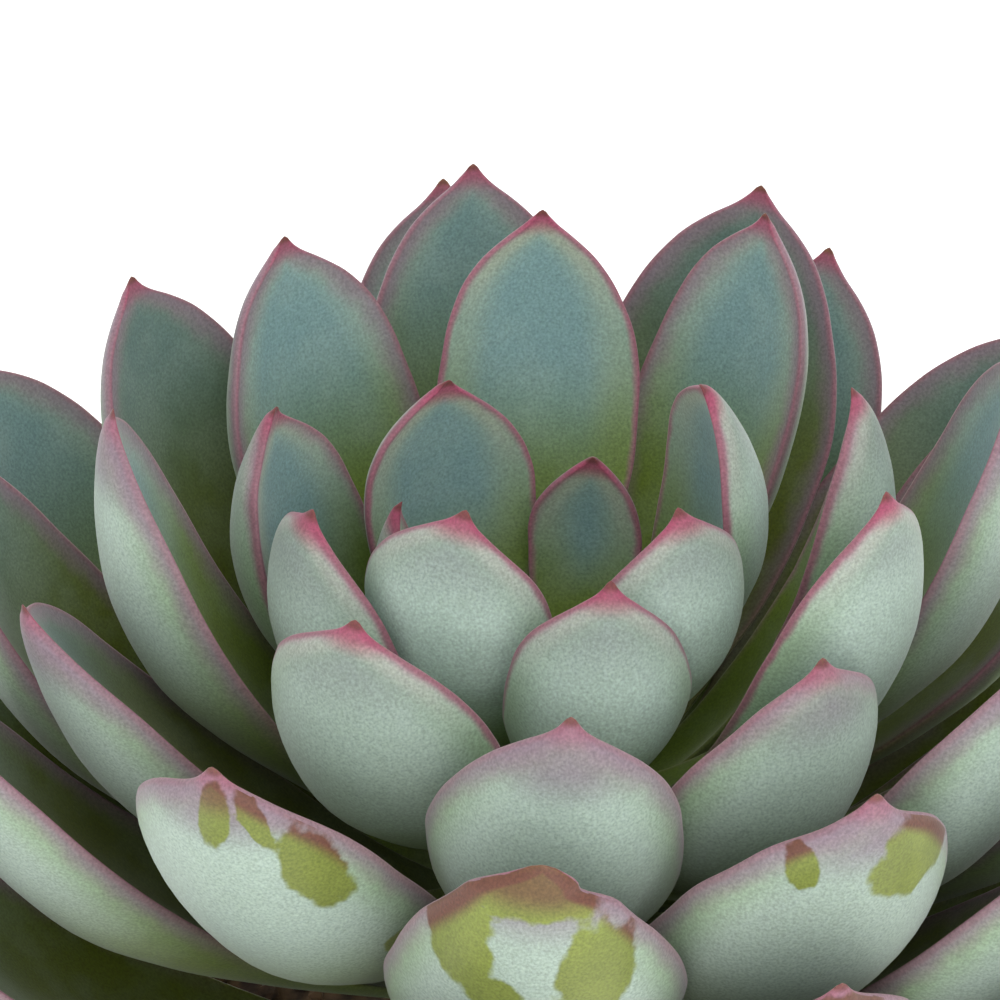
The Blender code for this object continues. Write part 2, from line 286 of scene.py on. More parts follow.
# %% The outline and the section of a leaf
WIDTH_AT = [0, 0.1, 0.2, 0.3, 0.42, 0.55, 0.66, 0.76, 0.85, 0.91, 0.95, 0.972, 0.986, 1]
WIDTH = [0.27, 0.36, 0.48, 0.64, 0.84, 0.97, 1, 0.94, 0.79, 0.6, 0.39, 0.22, 0.12, 0.03]
BULGE_AT = [0, 0.15, 0.3, 0.45, 0.58, 0.7, 0.8, 0.9, 0.96, 1]
BULGE = [0, 0.05, 0.28, 0.7, 1, 0.93, 0.72, 0.42, 0.2, 0]
CUP_AT = [0, 0.3, 0.8, 1]
CUPPING = [0.6, 1, 0.9, 0.4]
BASE_THICK = 1.8
MOST_THICK = 5.5
TIP_THICK = 0.4
THICKEST_AT = 0.58
EDGE_ROUND = 0.35
EDGE_SHARE = 0.4
BELLY_POWERS = (2.2, 0.55)
NIP_DEPTH = 0.32
NIP_LENGTH = 2.8

# The waver's waves, each as (share of the width, waves along the leaf, shift), and the shift from one side
# to the other and from leaf to leaf.
WAVER = ((0.022, 9, 1.0), (0.012, 21, 1.7))
SIDE_SHIFT = 2.4
LEAF_SHIFT = 2.1

# The foot and the tip round shut over these shares of the length.
FOOT_CLOSES = 0.02
TIP_CLOSES = 0.02
POINT_CLOSES = 0.004

# Dents in the margin beside a tip, as (side, millimetres back from the tip, length, share of the width).
# With a negative share the margin swells.
DENTS = {
    13: [(1, 3.0, 1.6, 0.16)],
    14: [(-1, 6.0, 3.5, 0.1)],
    24: [(-1, 2.6, 1.4, 0.18), (1, 4.0, 2.0, 0.1)],
    27: [(-1, 3.2, 1.6, 0.2), (1, 2.6, 1.2, 0.16), (-1, 9.0, 3.0, 0.06)],
    32: [(-1, 0.0, 3.0, -1.2), (1, 0.0, 3.0, -1.2), (1, 2.4, 0.9, 0.32)],
    36: [(-1, 3.0, 1.5, 0.2)],
}


def closing(distance, over):
    """From 0 at an end of a leaf to 1, so that it rounds shut."""
    return np.sqrt(np.clip(distance / over, 0, 1))


def leaf_half_width(leaf, along, back, aside):
    """Half the width at each point, with the waver, the nip and the dents of the margin."""
    half = leaf["half"] * smooth(along, WIDTH_AT, WIDTH)
    half = half * (1 - NIP_DEPTH * np.exp(-((back / NIP_LENGTH) ** 2)))
    shift = np.where(aside > 0, SIDE_SHIFT, 0) + LEAF_SHIFT * leaf["seed"]
    half = half * (1 + sum(size * np.sin(waves * along + k * shift) for size, waves, k in WAVER))
    for hand, place, reach, share in DENTS.get(leaf["seed"], []):
        dent = share * np.exp(-(((back - place) / reach) ** 2))
        half = half * np.where(aside * hand > 0, 1 - dent, 1)
    return half * closing(along, FOOT_CLOSES) * closing(1 - along, POINT_CLOSES)


def leaf_thickness(leaf, along):
    """The thickness at each point: thin at the foot and the tip, and fullest past the middle."""
    end = np.where(along < THICKEST_AT, BASE_THICK * leaf["thick"], TIP_THICK)
    thick = end + (MOST_THICK * leaf["thick"] - end) * smooth(along, BULGE_AT, BULGE)
    return thick * closing(along, FOOT_CLOSES) * closing(1 - along, TIP_CLOSES)


def leaf_section(leaf, along, back, aside, upper):
    """Half width, height over the middle line and distance from the margin, negative under the leaf."""
    half = leaf_half_width(leaf, along, back, aside)
    thick = leaf_thickness(leaf, along)
    cup = CUP * smooth(along, CUP_AT, CUPPING)
    lip = np.minimum(EDGE_ROUND, EDGE_SHARE * thick)
    shoulder = np.clip((np.abs(aside) * half - (half - lip)) / np.maximum(lip, 1e-6), 0, 1)
    across_power, full_power = BELLY_POWERS
    belly = lip + (thick - lip) * (1 - np.abs(aside) ** across_power) ** full_power
    drop = np.where(upper, lip * (1 - np.sqrt(1 - shoulder**2)), belly)
    rise = cup * half * aside * aside - drop
    inward = half * (1 - np.abs(aside))
    below = drop - lip + cup * half * (1 - aside * aside)
    return half, rise, np.where(upper, inward, -np.hypot(inward, below))


print("a leaf is widest at", WIDTH_AT[WIDTH.index(1)], "of its length")

# %% [markdown]
# ## From the ball to the leaf
# A point's height on the ball says how far along the leaf it goes, and its compass angle says how far aside,
# and on which face. The leaf bends along one arc, and turns about its own line over its first half. What the
# finish needs to know of each point is noted on the mesh.

# %% Shape a leaf
AROUND = 48
RINGS = 72
TIP_REACH = 0.7
TIP_POWER = 20
TWISTED_BY = 0.5


def note(obj, name, values):
    """Keeps one number for each point of the mesh, for the finish to read."""
    obj.data.attributes.new(name, "FLOAT", "POINT").data.foreach_set("value", values)


def shape_leaf(obj, leaf, leaning=True):
    """Slides the points of a ball to a leaf's surface, and notes where on the leaf each one is."""
    ball = np.empty(len(obj.data.vertices) * 3)
    obj.data.vertices.foreach_get("co", ball)
    ball = ball.reshape(-1, 3)
    along = np.sin((1 - np.arccos(np.clip(ball[:, 2], -1, 1)) / pi) * pi / 2)
    compass = np.arctan2(ball[:, 1], ball[:, 0])
    at_pole = np.hypot(ball[:, 0], ball[:, 1]) < 1e-6
    aside = np.where(at_pole, 0, -np.cos(compass))
    upper = compass >= 0
    radius = leaf["chord"] / (2 * sin(leaf["curve"] / 2))
    length = abs(radius * leaf["curve"])
    back = (1 - along) * length
    half, rise, edge = leaf_section(leaf, along, back, aside, upper)

    twist = leaf["roll"] * np.minimum(1, along / TWISTED_BY)
    across = half * aside * np.cos(twist) - rise * np.sin(twist)
    lift = half * aside * np.sin(twist) + rise * np.cos(twist)
    start = leaf["slope"] - leaf["curve"] / 2
    turn = start + leaf["curve"] * (along + TIP_REACH / length * along**TIP_POWER)
    out = leaf["foot_r"] + radius * (np.sin(turn) - sin(start)) - lift * np.sin(turn)
    up = leaf["foot_z"] + radius * (cos(start) - np.cos(turn)) + lift * np.cos(turn)
    east, north = sin(leaf["angle"]), cos(leaf["angle"])
    local = np.stack([out * east + across * north, across * east - out * north, up], axis=1)
    place = np.array(rosette_place if leaning else Matrix.Identity(4))
    points = local @ place[:3, :3].T + place[:3, 3]
    obj.data.vertices.foreach_set("co", (points * MM).ravel())

    note(obj, "edge", edge)
    note(obj, "along", along)
    note(obj, "back", back)
    note(obj, "age", np.full(len(along), leaf["age"]))
    return back, half * aside, upper


def add_ball(name, around, rings):
    """A ball of one metre radius, named and on its own in the selection."""
    bpy.ops.object.select_all(action="DESELECT")
    bpy.ops.mesh.primitive_uv_sphere_add(segments=around, ring_count=rings, radius=1)
    obj = bpy.context.object
    obj.name = name
    obj.data.name = name
    return obj


def select_only(obj):
    """Makes a piece the active one, and the only one selected."""
    bpy.ops.object.select_all(action="DESELECT")
    obj.select_set(True)
    bpy.context.view_layer.objects.active = obj


def face_outward(obj):
    """Turns every face of a closed mesh outward and shades it smooth."""
    select_only(obj)
    bpy.ops.object.mode_set(mode="EDIT")
    bpy.ops.mesh.select_all(action="SELECT")
    bpy.ops.mesh.normals_make_consistent(inside=False)
    bpy.ops.object.mode_set(mode="OBJECT")
    bpy.ops.object.shade_smooth()


print("points on a leaf:", AROUND * (RINGS - 1) + 2)

# %% [markdown]
# ## Where the bloom is rubbed off
# The powder on the leaves is wax, and a touch wipes it away for good. On the front leaves it is gone in
# patches, and the bare skin shows: yellow-green, browner towards the pink margin and the tip. Each patch is
# a soft spot at a place along and across its leaf, which the finish then breaks up into an uneven outline.

# %% Rubbed patches by leaf: back from the tip, across, half length, half width, and tilt in degrees
RUBBED = {
    24: [
        (4.2, 0.0, 3.4, 1.5, -8),
        (4.4, 3.4, 3.6, 0.8, 27),
        (10.0, 7.2, 5.4, 2.1, 19),
        (24.7, 10.4, 2.2, 1.2, 0),
    ],
    27: [(6.3, -5.4, 2.1, 1.4, 5), (6.6, 4.8, 4.0, 5.2, 0)],
    32: [
        (7.4, -6.4, 6.4, 3.1, 12),
        (13.0, -2.6, 2.4, 2.4, 0),
        (2.0, -1.0, 2.6, 7.8, 0),
        (9.8, 4.9, 5.6, 3.4, 0),
        (5.0, 9.4, 0.8, 0.7, 0),
    ],
    40: [(3.2, 0.6, 2.4, 4.4, 0)],
}


def rub(obj, back, side, upper, patches):
    """Notes how far inside a rubbed patch of the under face each point is: 1 in its middle, 0 on its rim."""
    worn = np.full(len(back), -1.0)
    for down, across, length, width, tilt in patches:
        x = back - down
        y = side - across
        lean = radians(tilt)
        far_along = (x * cos(lean) + y * sin(lean)) / length
        far_aside = (y * cos(lean) - x * sin(lean)) / width
        spot = 1 - np.hypot(far_along, far_aside)
        worn = np.maximum(worn, np.where(upper, -1, spot))
    note(obj, "rubbed", worn)


print("leaves with rubbed patches:", sorted(RUBBED))

# %% [markdown]
# ## The finish of the leaves
# The skin is a living, watery green under a thin coat of wax powder, which scatters the light, so the leaf
# looks matt and greyed. The pattern follows the leaf, so it reads the notes made on the mesh. Edge, back and
# depth are in millimetres, and along and age run from 0 to 1. Three noises make it uneven.

# %% What the leaf skin reads
# The noises by name, size in millimetres, and detail. The powder's real grain is some hundredths of a
# millimetre, and is drawn at 0.25 mm so that it shows.
LEAF_NOISES = (("grain", 0.25, 2.0), ("stray", 2.4, 3.0), ("mottle", 6.0, 3.0))


def read_leaf(tree):
    """The notes on the mesh, the noises, and the zones that more than one coat needs."""
    at = SimpleNamespace()
    for name in ("edge", "along", "back", "age", "rubbed"):
        setattr(at, name, add(tree, "ShaderNodeAttribute", output="Fac", attribute_name=name))
    place = add(tree, "ShaderNodeTexCoord", output="Object")
    for name, size, detail in LEAF_NOISES:
        settings = {"Vector": place, "Scale": 1 / (size * MM), "Detail": detail}
        setattr(at, name, add(tree, "ShaderNodeTexNoise", settings))
    at.depth = add(tree, "ShaderNodeMath", {0: at.edge}, operation="ABSOLUTE")
    at.on_top = add(tree, "ShaderNodeMapRange", {0: at.edge, 1: -0.15, 2: 0.15}, **SOFT)
    at.outer = add(tree, "ShaderNodeMapRange", {0: at.age, 1: 0.2, 2: 0.3}, **SOFT)
    at.old = add(tree, "ShaderNodeMapRange", {0: at.age, 1: 0.36, 2: 0.5}, **SOFT)
    at.patchy = add(tree, "ShaderNodeMapRange", {0: at.mottle, 1: 0.38, 2: 0.68, 4: 0.14}, **SOFT)
    at.wander = add(tree, "ShaderNodeMapRange", {0: at.stray, 1: 0.3, 2: 0.7, 3: 0.8, 4: 1.2})
    at.fade = add(tree, "ShaderNodeMapRange", {0: at.along, 1: 0.22, 2: 0.64, 3: 0.1}, **SOFT)
    # Where the olive at the foot begins, higher on older leaves: partly the skin's own colour, partly
    # painted shade.
    at.mossy = add(tree, "ShaderNodeMapRange", {0: at.age, 1: 0.05, 2: 0.45, 3: 0.66, 4: 0.9})
    at.clear = add(tree, "ShaderNodeMath", {0: at.mossy, 1: 0.32}, operation="SUBTRACT")
    return at


print("noises of the leaf skin:", [name for name, *_ in LEAF_NOISES])

# %% [markdown]
# ## The two faces of a leaf
# The round under face is pale sage. It is darker on outer and older leaves and greyer towards the tip, both
# painted shade, lilac at an outer leaf's tip, greener along its flanks with painted shade there too, and
# olive at the foot. The trough of the upper face is blue-green. It is lighter by the rim, which is a painted
# highlight, darker on old leaves, greener by the rim lower down, and olive towards the foot. The olive and
# the dark on old leaves are partly the skin's own colour and partly painted shade.


# %% Paint the two faces
def paint_under_face(tree, at):
    """Pale sage on the round face."""
    # Painted shade: outer leaves, and old ones more, are painted darker on the under face.
    grown = add(tree, "ShaderNodeMapRange", {0: at.age, 1: 0.12, 2: 0.19}, **SOFT)
    # Painted shade: the top part of the under face, towards the tip, is painted greyer and darker.
    high = add(tree, "ShaderNodeMapRange", {0: at.back, 1: 8.5, 2: 3.0, 4: 0.85}, **SOFT)
    near_tip = add(tree, "ShaderNodeMapRange", {0: at.back, 1: 7.5, 2: 2.0, 4: 0.9}, **SOFT)
    lilac = add(tree, "ShaderNodeMath", {0: near_tip, 1: at.outer}, operation="MULTIPLY")
    # Greener along the flanks, more so lower down: the leaf's own green with painted shade on it.
    flank = add(tree, "ShaderNodeMapRange", {0: at.depth, 1: 5.5, 2: 1.0}, **SOFT)
    below = add(tree, "ShaderNodeMapRange", {0: at.back, 1: 4.0, 2: 14.0, 3: 0.25, 4: 0.75}, **SOFT)
    flank = add(tree, "ShaderNodeMath", {0: flank, 1: below}, operation="MULTIPLY")
    # Olive at the foot: partly the skin's own colour, partly painted shade between the leaves.
    lower = add(tree, "ShaderNodeMath", {0: at.along, 1: 0.16}, operation="ADD")
    foot = add(tree, "ShaderNodeMapRange", {0: lower, 1: at.mossy, 2: at.clear, 4: 0.95}, **SOFT)
    coats = [(grown, "#a0b2a6"), (at.old, "#95a599"), (high, "#818c86")]
    coats += [(lilac, "#7c6776"), (flank, "#7d966e"), (foot, "#6a7d1c")]
    face = ink("#b2c5ba")
    for share, colour in coats:
        face = add(tree, "ShaderNodeMix", {0: share, 6: face, 7: ink(colour)}, **BLEND)
    return face


def paint_upper_face(tree, at):
    """A deeper blue-green in the trough."""
    # Painted highlight: the upper face is painted lighter by the rim, where it turns up to the light.
    rim = add(tree, "ShaderNodeMapRange", {0: at.depth, 1: 5.0, 2: 1.2}, **SOFT)
    # Darker on old leaves: partly their own darker green, partly painted shade on the leaves further back.
    dark = add(tree, "ShaderNodeMath", {0: at.old, 1: 0.75}, operation="MULTIPLY")
    green = add(tree, "ShaderNodeMapRange", {0: at.along, 1: 0.85, 2: 0.55, 4: 0.85}, **SOFT)
    green = add(tree, "ShaderNodeMath", {0: green, 1: rim}, operation="MULTIPLY")
    face = ink("#6d8b8b")
    for share, colour in ((rim, "#83988b"), (dark, "#465a4e"), (green, "#728865")):
        face = add(tree, "ShaderNodeMix", {0: share, 6: face, 7: ink(colour)}, **BLEND)
    # Olive towards the foot: partly the skin's own colour, partly painted shade, the darker on old leaves.
    moss = add(tree, "ShaderNodeMix", {0: at.old, 6: ink("#61751c"), 7: ink("#566210")}, **BLEND)
    foot = add(tree, "ShaderNodeMapRange", {0: at.along, 1: at.mossy, 2: at.clear}, **SOFT)
    return add(tree, "ShaderNodeMix", {0: foot, 6: face, 7: moss}, **BLEND)


print("sage of the under face in linear light:", [round(c, 3) for c in ink("#b2c5ba")[:3]])

# %% [markdown]
# ## The margin and the tip
# Sun turns the thin margin pink. Behind the tip a pale zone lies inside it, creamy on the upper face and
# pinkish on the under one. The blush is narrow and rosy on inner leaves, wide and lilac on outer ones, and
# widest at the tip. A thin red line runs on the very edge, full on the inner leaves and on every sunlit
# upper face. The tip is red, and ends in a dry brown point.


# %% Paint the margin and the tip
def paint_pale_zone(tree, at, face):
    """Cream or pale pink inside the margin, behind the tip."""
    pale = add(tree, "ShaderNodeMapRange", {0: at.back, 1: 11.0, 2: 2.5, 4: 0.35}, **SOFT)
    band = add(tree, "ShaderNodeMapRange", {0: at.depth, 1: 3.4, 2: 1.4}, **SOFT)
    pale = add(tree, "ShaderNodeMath", {0: pale, 1: band}, operation="MULTIPLY")
    inner = add(tree, "ShaderNodeMapRange", {0: at.outer, 3: 1.0, 4: 0.3})
    pale = add(tree, "ShaderNodeMath", {0: pale, 1: inner}, operation="MULTIPLY")
    tint = add(tree, "ShaderNodeMix", {0: at.on_top, 6: ink("#b0a7a4"), 7: ink("#a8a08a")}, **BLEND)
    return add(tree, "ShaderNodeMix", {0: pale, 6: face, 7: tint}, **BLEND)


def paint_blush(tree, at, face):
    """The pink that sun gives the margin."""
    width = add(tree, "ShaderNodeMapRange", {0: at.outer, 3: 1.2, 4: 3.8})
    spread = add(tree, "ShaderNodeMapRange", {0: at.back, 1: 14.0, 2: 1.0, 3: 0.7, 4: 1.15}, **SOFT)
    width = add(tree, "ShaderNodeMath", {0: width, 1: spread}, operation="MULTIPLY")
    width = add(tree, "ShaderNodeMath", {0: width, 1: at.wander}, operation="MULTIPLY")
    share = add(tree, "ShaderNodeMath", {0: at.depth, 1: width}, operation="DIVIDE")
    blush = add(tree, "ShaderNodeMapRange", {0: share, 1: 1.0, 2: 0.1, 4: 0.8}, **SOFT)
    blush = add(tree, "ShaderNodeMath", {0: blush, 1: at.fade}, operation="MULTIPLY")
    rosy = add(tree, "ShaderNodeMix", {0: at.outer, 6: ink("#8e6c79"), 7: ink("#7d6876")}, **BLEND)
    return add(tree, "ShaderNodeMix", {0: blush, 6: face, 7: rosy}, **BLEND)


def paint_red_line(tree, at, face):
    """A red line on the very edge, a red tip, and its dry brown point."""
    share = add(tree, "ShaderNodeMath", {0: at.depth, 1: at.wander}, operation="DIVIDE")
    line = add(tree, "ShaderNodeMapRange", {0: share, 1: 0.8, 2: 0.1}, **SOFT)
    full = add(tree, "ShaderNodeMapRange", {0: at.age, 1: 0.18, 2: 0.3, 3: 0.9, 4: 0.4}, **SOFT)
    sunned = add(tree, "ShaderNodeMath", {0: at.on_top, 1: 0.75}, operation="MULTIPLY")
    full = add(tree, "ShaderNodeMath", {0: full, 1: sunned}, operation="MAXIMUM")
    line = add(tree, "ShaderNodeMath", {0: line, 1: at.fade}, operation="MULTIPLY")
    line = add(tree, "ShaderNodeMath", {0: line, 1: full}, operation="MULTIPLY")
    tip = add(tree, "ShaderNodeMapRange", {0: at.back, 1: 2.6, 2: 0.8}, **SOFT)
    tip = add(tree, "ShaderNodeMath", {0: tip, 1: full}, operation="MULTIPLY")
    point = add(tree, "ShaderNodeMapRange", {0: at.back, 1: 0.8, 2: 0.3, 4: 0.8}, **SOFT)
    for share, colour in ((line, "#84515f"), (tip, "#92405a"), (point, "#5c2f2a")):
        face = add(tree, "ShaderNodeMix", {0: share, 6: face, 7: ink(colour)}, **BLEND)
    return face


print("red line in linear light:", [round(c, 3) for c in ink("#84515f")[:3]])

# %% [markdown]
# ## Bare skin, and the whole coat
# Where the powder is rubbed off, the skin is yellow-green, red-brown by the margin and near the tip, and a
# little glossier. The powder itself is a fine grain in the colour and the bump. Light goes a short way
# into the watery leaf, so thin parts glow.


# %% Waxy leaf skin
WAXY = {
    "Specular IOR Level": 0.3,
    "Sheen Weight": 0.18,
    "Sheen Roughness": 0.45,
    "Subsurface Weight": 0.12,
    "Subsurface Radius": (0.8, 1.0, 0.4),
    "Subsurface Scale": 2 * MM,
}


def paint_rubbed(tree, at, face):
    """The face with its bare patches, and how bare each point is."""
    tear = add(tree, "ShaderNodeMapRange", {0: at.stray, 1: 0.3, 2: 0.7, 3: -0.14, 4: 0.14})
    torn = add(tree, "ShaderNodeMath", {0: at.rubbed, 1: tear}, operation="ADD")
    bare = add(tree, "ShaderNodeMapRange", {0: torn, 1: 0.0, 2: 0.18}, **SOFT)
    by_rim = add(tree, "ShaderNodeMapRange", {0: at.depth, 1: 2.8, 2: 1.2}, **SOFT)
    by_tip = add(tree, "ShaderNodeMapRange", {0: at.back, 1: 4.4, 2: 2.0, 4: 0.8}, **SOFT)
    browned = add(tree, "ShaderNodeMath", {0: by_rim, 1: by_tip}, operation="MAXIMUM")
    naked = add(tree, "ShaderNodeMix", {0: at.patchy, 6: ink("#6d7736"), 7: ink("#9cab48")}, **BLEND)
    naked = add(tree, "ShaderNodeMix", {0: browned, 6: naked, 7: ink("#5f3b2e")}, **BLEND)
    return add(tree, "ShaderNodeMix", {0: bare, 6: face, 7: naked}, **BLEND), bare


def make_leaf_skin():
    """Wax powder on a green skin: matt and greyed, with a soft glow where thin."""
    skin, tree = start_material("waxy_leaf_skin", WAXY)
    at = read_leaf(tree)
    under = paint_under_face(tree, at)
    upper = paint_upper_face(tree, at)
    face = add(tree, "ShaderNodeMix", {0: at.on_top, 6: under, 7: upper}, **BLEND)
    face = add(tree, "ShaderNodeMix", {0: at.patchy, 6: face, 7: ink("#9aab9c")}, **BLEND)
    face = paint_pale_zone(tree, at, face)
    face = paint_blush(tree, at, face)
    face = paint_red_line(tree, at, face)
    face, bare = paint_rubbed(tree, at, face)
    speck = add(tree, "ShaderNodeMapRange", {0: at.grain, 1: 0.25, 2: 0.75, 3: 0.74, 4: 1.22})
    tone = add(tree, "ShaderNodeVectorMath", {0: face, 1: speck}, operation="MULTIPLY")
    gloss = add(tree, "ShaderNodeMapRange", {0: bare, 3: 0.62, 4: 0.42})
    tree.links.new(gloss, tree.nodes["Principled BSDF"].inputs["Roughness"])
    return finish_material(skin, tone, at.grain, 0.35, 0.06)


leaf_skin = make_leaf_skin()
print("leaf skin nodes:", len(leaf_skin.node_tree.nodes))

# %% [markdown]
# ## All the leaves
# The ball is made once. Each leaf is a copy of it with its own mesh, shaped by its place on the spiral, and
# it stands for the solid leaf with the same number.

# %% Grow the rosette
leaf_ball = add_ball("leaf_ball", AROUND, RINGS)
for n in leaf_numbers:
    leaf = leaf_ball.copy()
    leaf.data = leaf_ball.data.copy()
    leaf.name = leaf.data.name = f"rosette_leaf_{n:02d}"
    bpy.context.scene.collection.objects.link(leaf)
    back, side, upper = shape_leaf(leaf, leaf_rule(n))
    rub(leaf, back, side, upper, RUBBED.get(n, []))
    leaf.data.materials.append(leaf_skin)
    face_outward(leaf)
    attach(leaf, "root")
    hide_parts(f"leaf_{n:02d}")
print("grown:", len(leaf_numbers), "leaves")
bpy.data.objects.remove(leaf_ball)

# %% [markdown]
# ## Round pieces from a profile
# A pot is thrown or jolleyed: a profile turned about an upright axis. We draw half of the profile as a chain
# of points, round its corners as the potter's sponge would, and let a Screw modifier sweep it once round.


# %% Turn a profile
SAME_POINT = 0.00001


def rounded(corners, steps=4):
    """A chain of (radius, height, rounding) corners, each rounded by an arc-like curve."""
    chain = []
    for i, (r, z, size) in enumerate(corners):
        here = Vector((r, z))
        if size == 0 or i in (0, len(corners) - 1):
            chain.append(here)
            continue
        before = here + (Vector(corners[i - 1][:2]) - here).normalized() * size
        after = here + (Vector(corners[i + 1][:2]) - here).normalized() * size
        for k in range(steps + 1):
            part = k / steps
            chain.append(before * (1 - part) ** 2 + here * 2 * part * (1 - part) + after * part**2)
    return chain


def divided(chain, longest):
    """The same chain with no straight stretch longer than that."""
    fine = [chain[0]]
    for low, high in zip(chain, chain[1:]):
        count = max(1, round((high - low).length / longest))
        fine += [low.lerp(high, (k + 1) / count) for k in range(count)]
    return fine


def turn_profile(name, chain, around):
    """A closed turned piece. The chain runs from axis to axis, in millimetres."""
    mesh = bpy.data.meshes.new(name)
    points = [(p.x * MM, 0, p.y * MM) for p in chain]
    mesh.from_pydata(points, [(i, i + 1) for i in range(len(points) - 1)], [])
    obj = bpy.data.objects.new(name, mesh)
    bpy.context.scene.collection.objects.link(obj)
    select_only(obj)
    screw = obj.modifiers.new("turn", "SCREW")
    screw.steps = screw.render_steps = around
    screw.use_merge_vertices = True
    screw.merge_threshold = SAME_POINT
    bpy.ops.object.modifier_apply(modifier=screw.name)
    bpy.ops.object.mode_set(mode="EDIT")
    bpy.ops.mesh.select_all(action="SELECT")
    bpy.ops.mesh.remove_doubles(threshold=SAME_POINT)
    bpy.ops.mesh.normals_make_consistent(inside=False)
    bpy.ops.object.mode_set(mode="OBJECT")
    return obj


def read_points(obj):
    """The points of a mesh as rows of millimetres."""
    flat = np.empty(len(obj.data.vertices) * 3)
    obj.data.vertices.foreach_get("co", flat)
    return flat.reshape(-1, 3) / MM


def write_points(obj, points):
    """Gives a mesh its points back, from rows of millimetres."""
    obj.data.vertices.foreach_set("co", (np.asarray(points) * MM).ravel())
    obj.data.update()


def lumps(points, scale, seed, octaves=2):
    """Soft noise from -1 to 1 at each point, with lumps about `scale` millimetres across."""
    shift = Vector((seed * 7.3, seed * 3.1, seed * 5.7))
    found = []
    for p in points:
        place = Vector(p) / scale + shift
        found.append(sum(noise.noise(place * 2**k) / 2**k for k in range(octaves)))
    return np.array(found)


print("a rounded corner has", len(rounded([(0, 0, 0), (5, 0, 1), (5, 5, 0)])) - 2, "points")

# %% [markdown]
# ## The clay pot
# A plain flowerpot is pressed or thrown in red clay, dried and fired once without a glaze. It has a collar
# at the rim so that pots can be stacked, a rounded lip, faint rings from turning, and holes for the water.

# %% Turn the pot, with corners as (radius, height, rounding)
POT_HEIGHT = 86.0
POT_BASE_R = 31.0
POT_UNDER_BAND_R = 41.0
POT_BAND_R = 44.2
POT_RIM_R = 47.5
BAND_HEIGHT = 21.0
POT_BAND_Z = POT_HEIGHT - BAND_HEIGHT
POT_FLOOR = 7.0
POT_INSIDE_FOOT_R = 27.0
POT_INSIDE_RIM_R = 43.0
POT_STEP = 2.2
POT_SIDES = 160
RING_DEPTH = 0.05
RING_SPACING = 3.1
WALL_WAVE = 0.1
WALL_WAVE_SIZE = 17
FLAT_TO_R = 24.0


def pot_inside(z):
    """The radius of the inner wall at a height."""
    share = (z - POT_FLOOR) / (POT_HEIGHT - POT_FLOOR)
    return POT_INSIDE_FOOT_R + (POT_INSIDE_RIM_R - POT_INSIDE_FOOT_R) * share


pot_profile = [
    (0, 0.0, 0),
    (POT_BASE_R - 0.2, 0.0, 1.2),
    (POT_UNDER_BAND_R, POT_BAND_Z - 0.8, 0.6),
    (POT_UNDER_BAND_R + 0.6, POT_BAND_Z, 0.5),
    (POT_BAND_R, POT_BAND_Z, 0.9),
    (POT_RIM_R, POT_HEIGHT, 2.2),
    (POT_INSIDE_RIM_R, POT_HEIGHT, 1.6),
    (pot_inside(POT_FLOOR), POT_FLOOR, 2.2),
    (0, POT_FLOOR, 0),
]
pot = turn_profile("clay_pot", divided(rounded(pot_profile), POT_STEP), POT_SIDES)
points = read_points(pot)
around = np.arctan2(points[:, 1], points[:, 0])
radius = np.hypot(points[:, 0], points[:, 1])
walls = np.clip((radius - FLAT_TO_R) / 4, 0, 1)
rings = RING_DEPTH * np.sin(points[:, 2] * 2 * pi / RING_SPACING + 0.4 * np.sin(around))
uneven = rings + WALL_WAVE * lumps(points, WALL_WAVE_SIZE, 1)
points[:, :2] += points[:, :2] / np.maximum(radius, 1e-6)[:, None] * (walls * uneven)[:, None]
write_points(pot, points)
print("points on the pot:", len(points))

# %% Pierce the pot's floor
HOLES = 5
HOLE_R = 3.4
HOLE_RING = 15.0
HOLE_TURN = 0.71
DRILL_SIDES = 32
DRILL_LENGTH = POT_FLOOR + 4
for i in range(HOLES):
    angle = 2 * pi * i / HOLES + HOLE_TURN
    place = (HOLE_RING * cos(angle) * MM, HOLE_RING * sin(angle) * MM, POT_FLOOR / 2 * MM)
    bpy.ops.mesh.primitive_cylinder_add(
        vertices=DRILL_SIDES, radius=HOLE_R * MM, depth=DRILL_LENGTH * MM, location=place
    )
    drill = bpy.context.object
    cut = pot.modifiers.new("drain", "BOOLEAN")
    cut.operation = "DIFFERENCE"
    cut.object = drill
    bpy.context.view_layer.objects.active = pot
    bpy.ops.object.modifier_apply(modifier=cut.name)
    bpy.data.objects.remove(drill)
select_only(pot)
bpy.ops.object.shade_smooth_by_angle(angle=radians(50))
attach(pot, "root")
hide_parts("pot")
print("pot faces:", len(pot.data.polygons))

# %% [markdown]
# ## The finish of the clay
# Fired red clay is matt, and the kiln colours it a little unevenly. Water wicks through the wall, carries
# salts out, and leaves a pale bloom where it dries, most of it low on the wall. Specks of sand show.


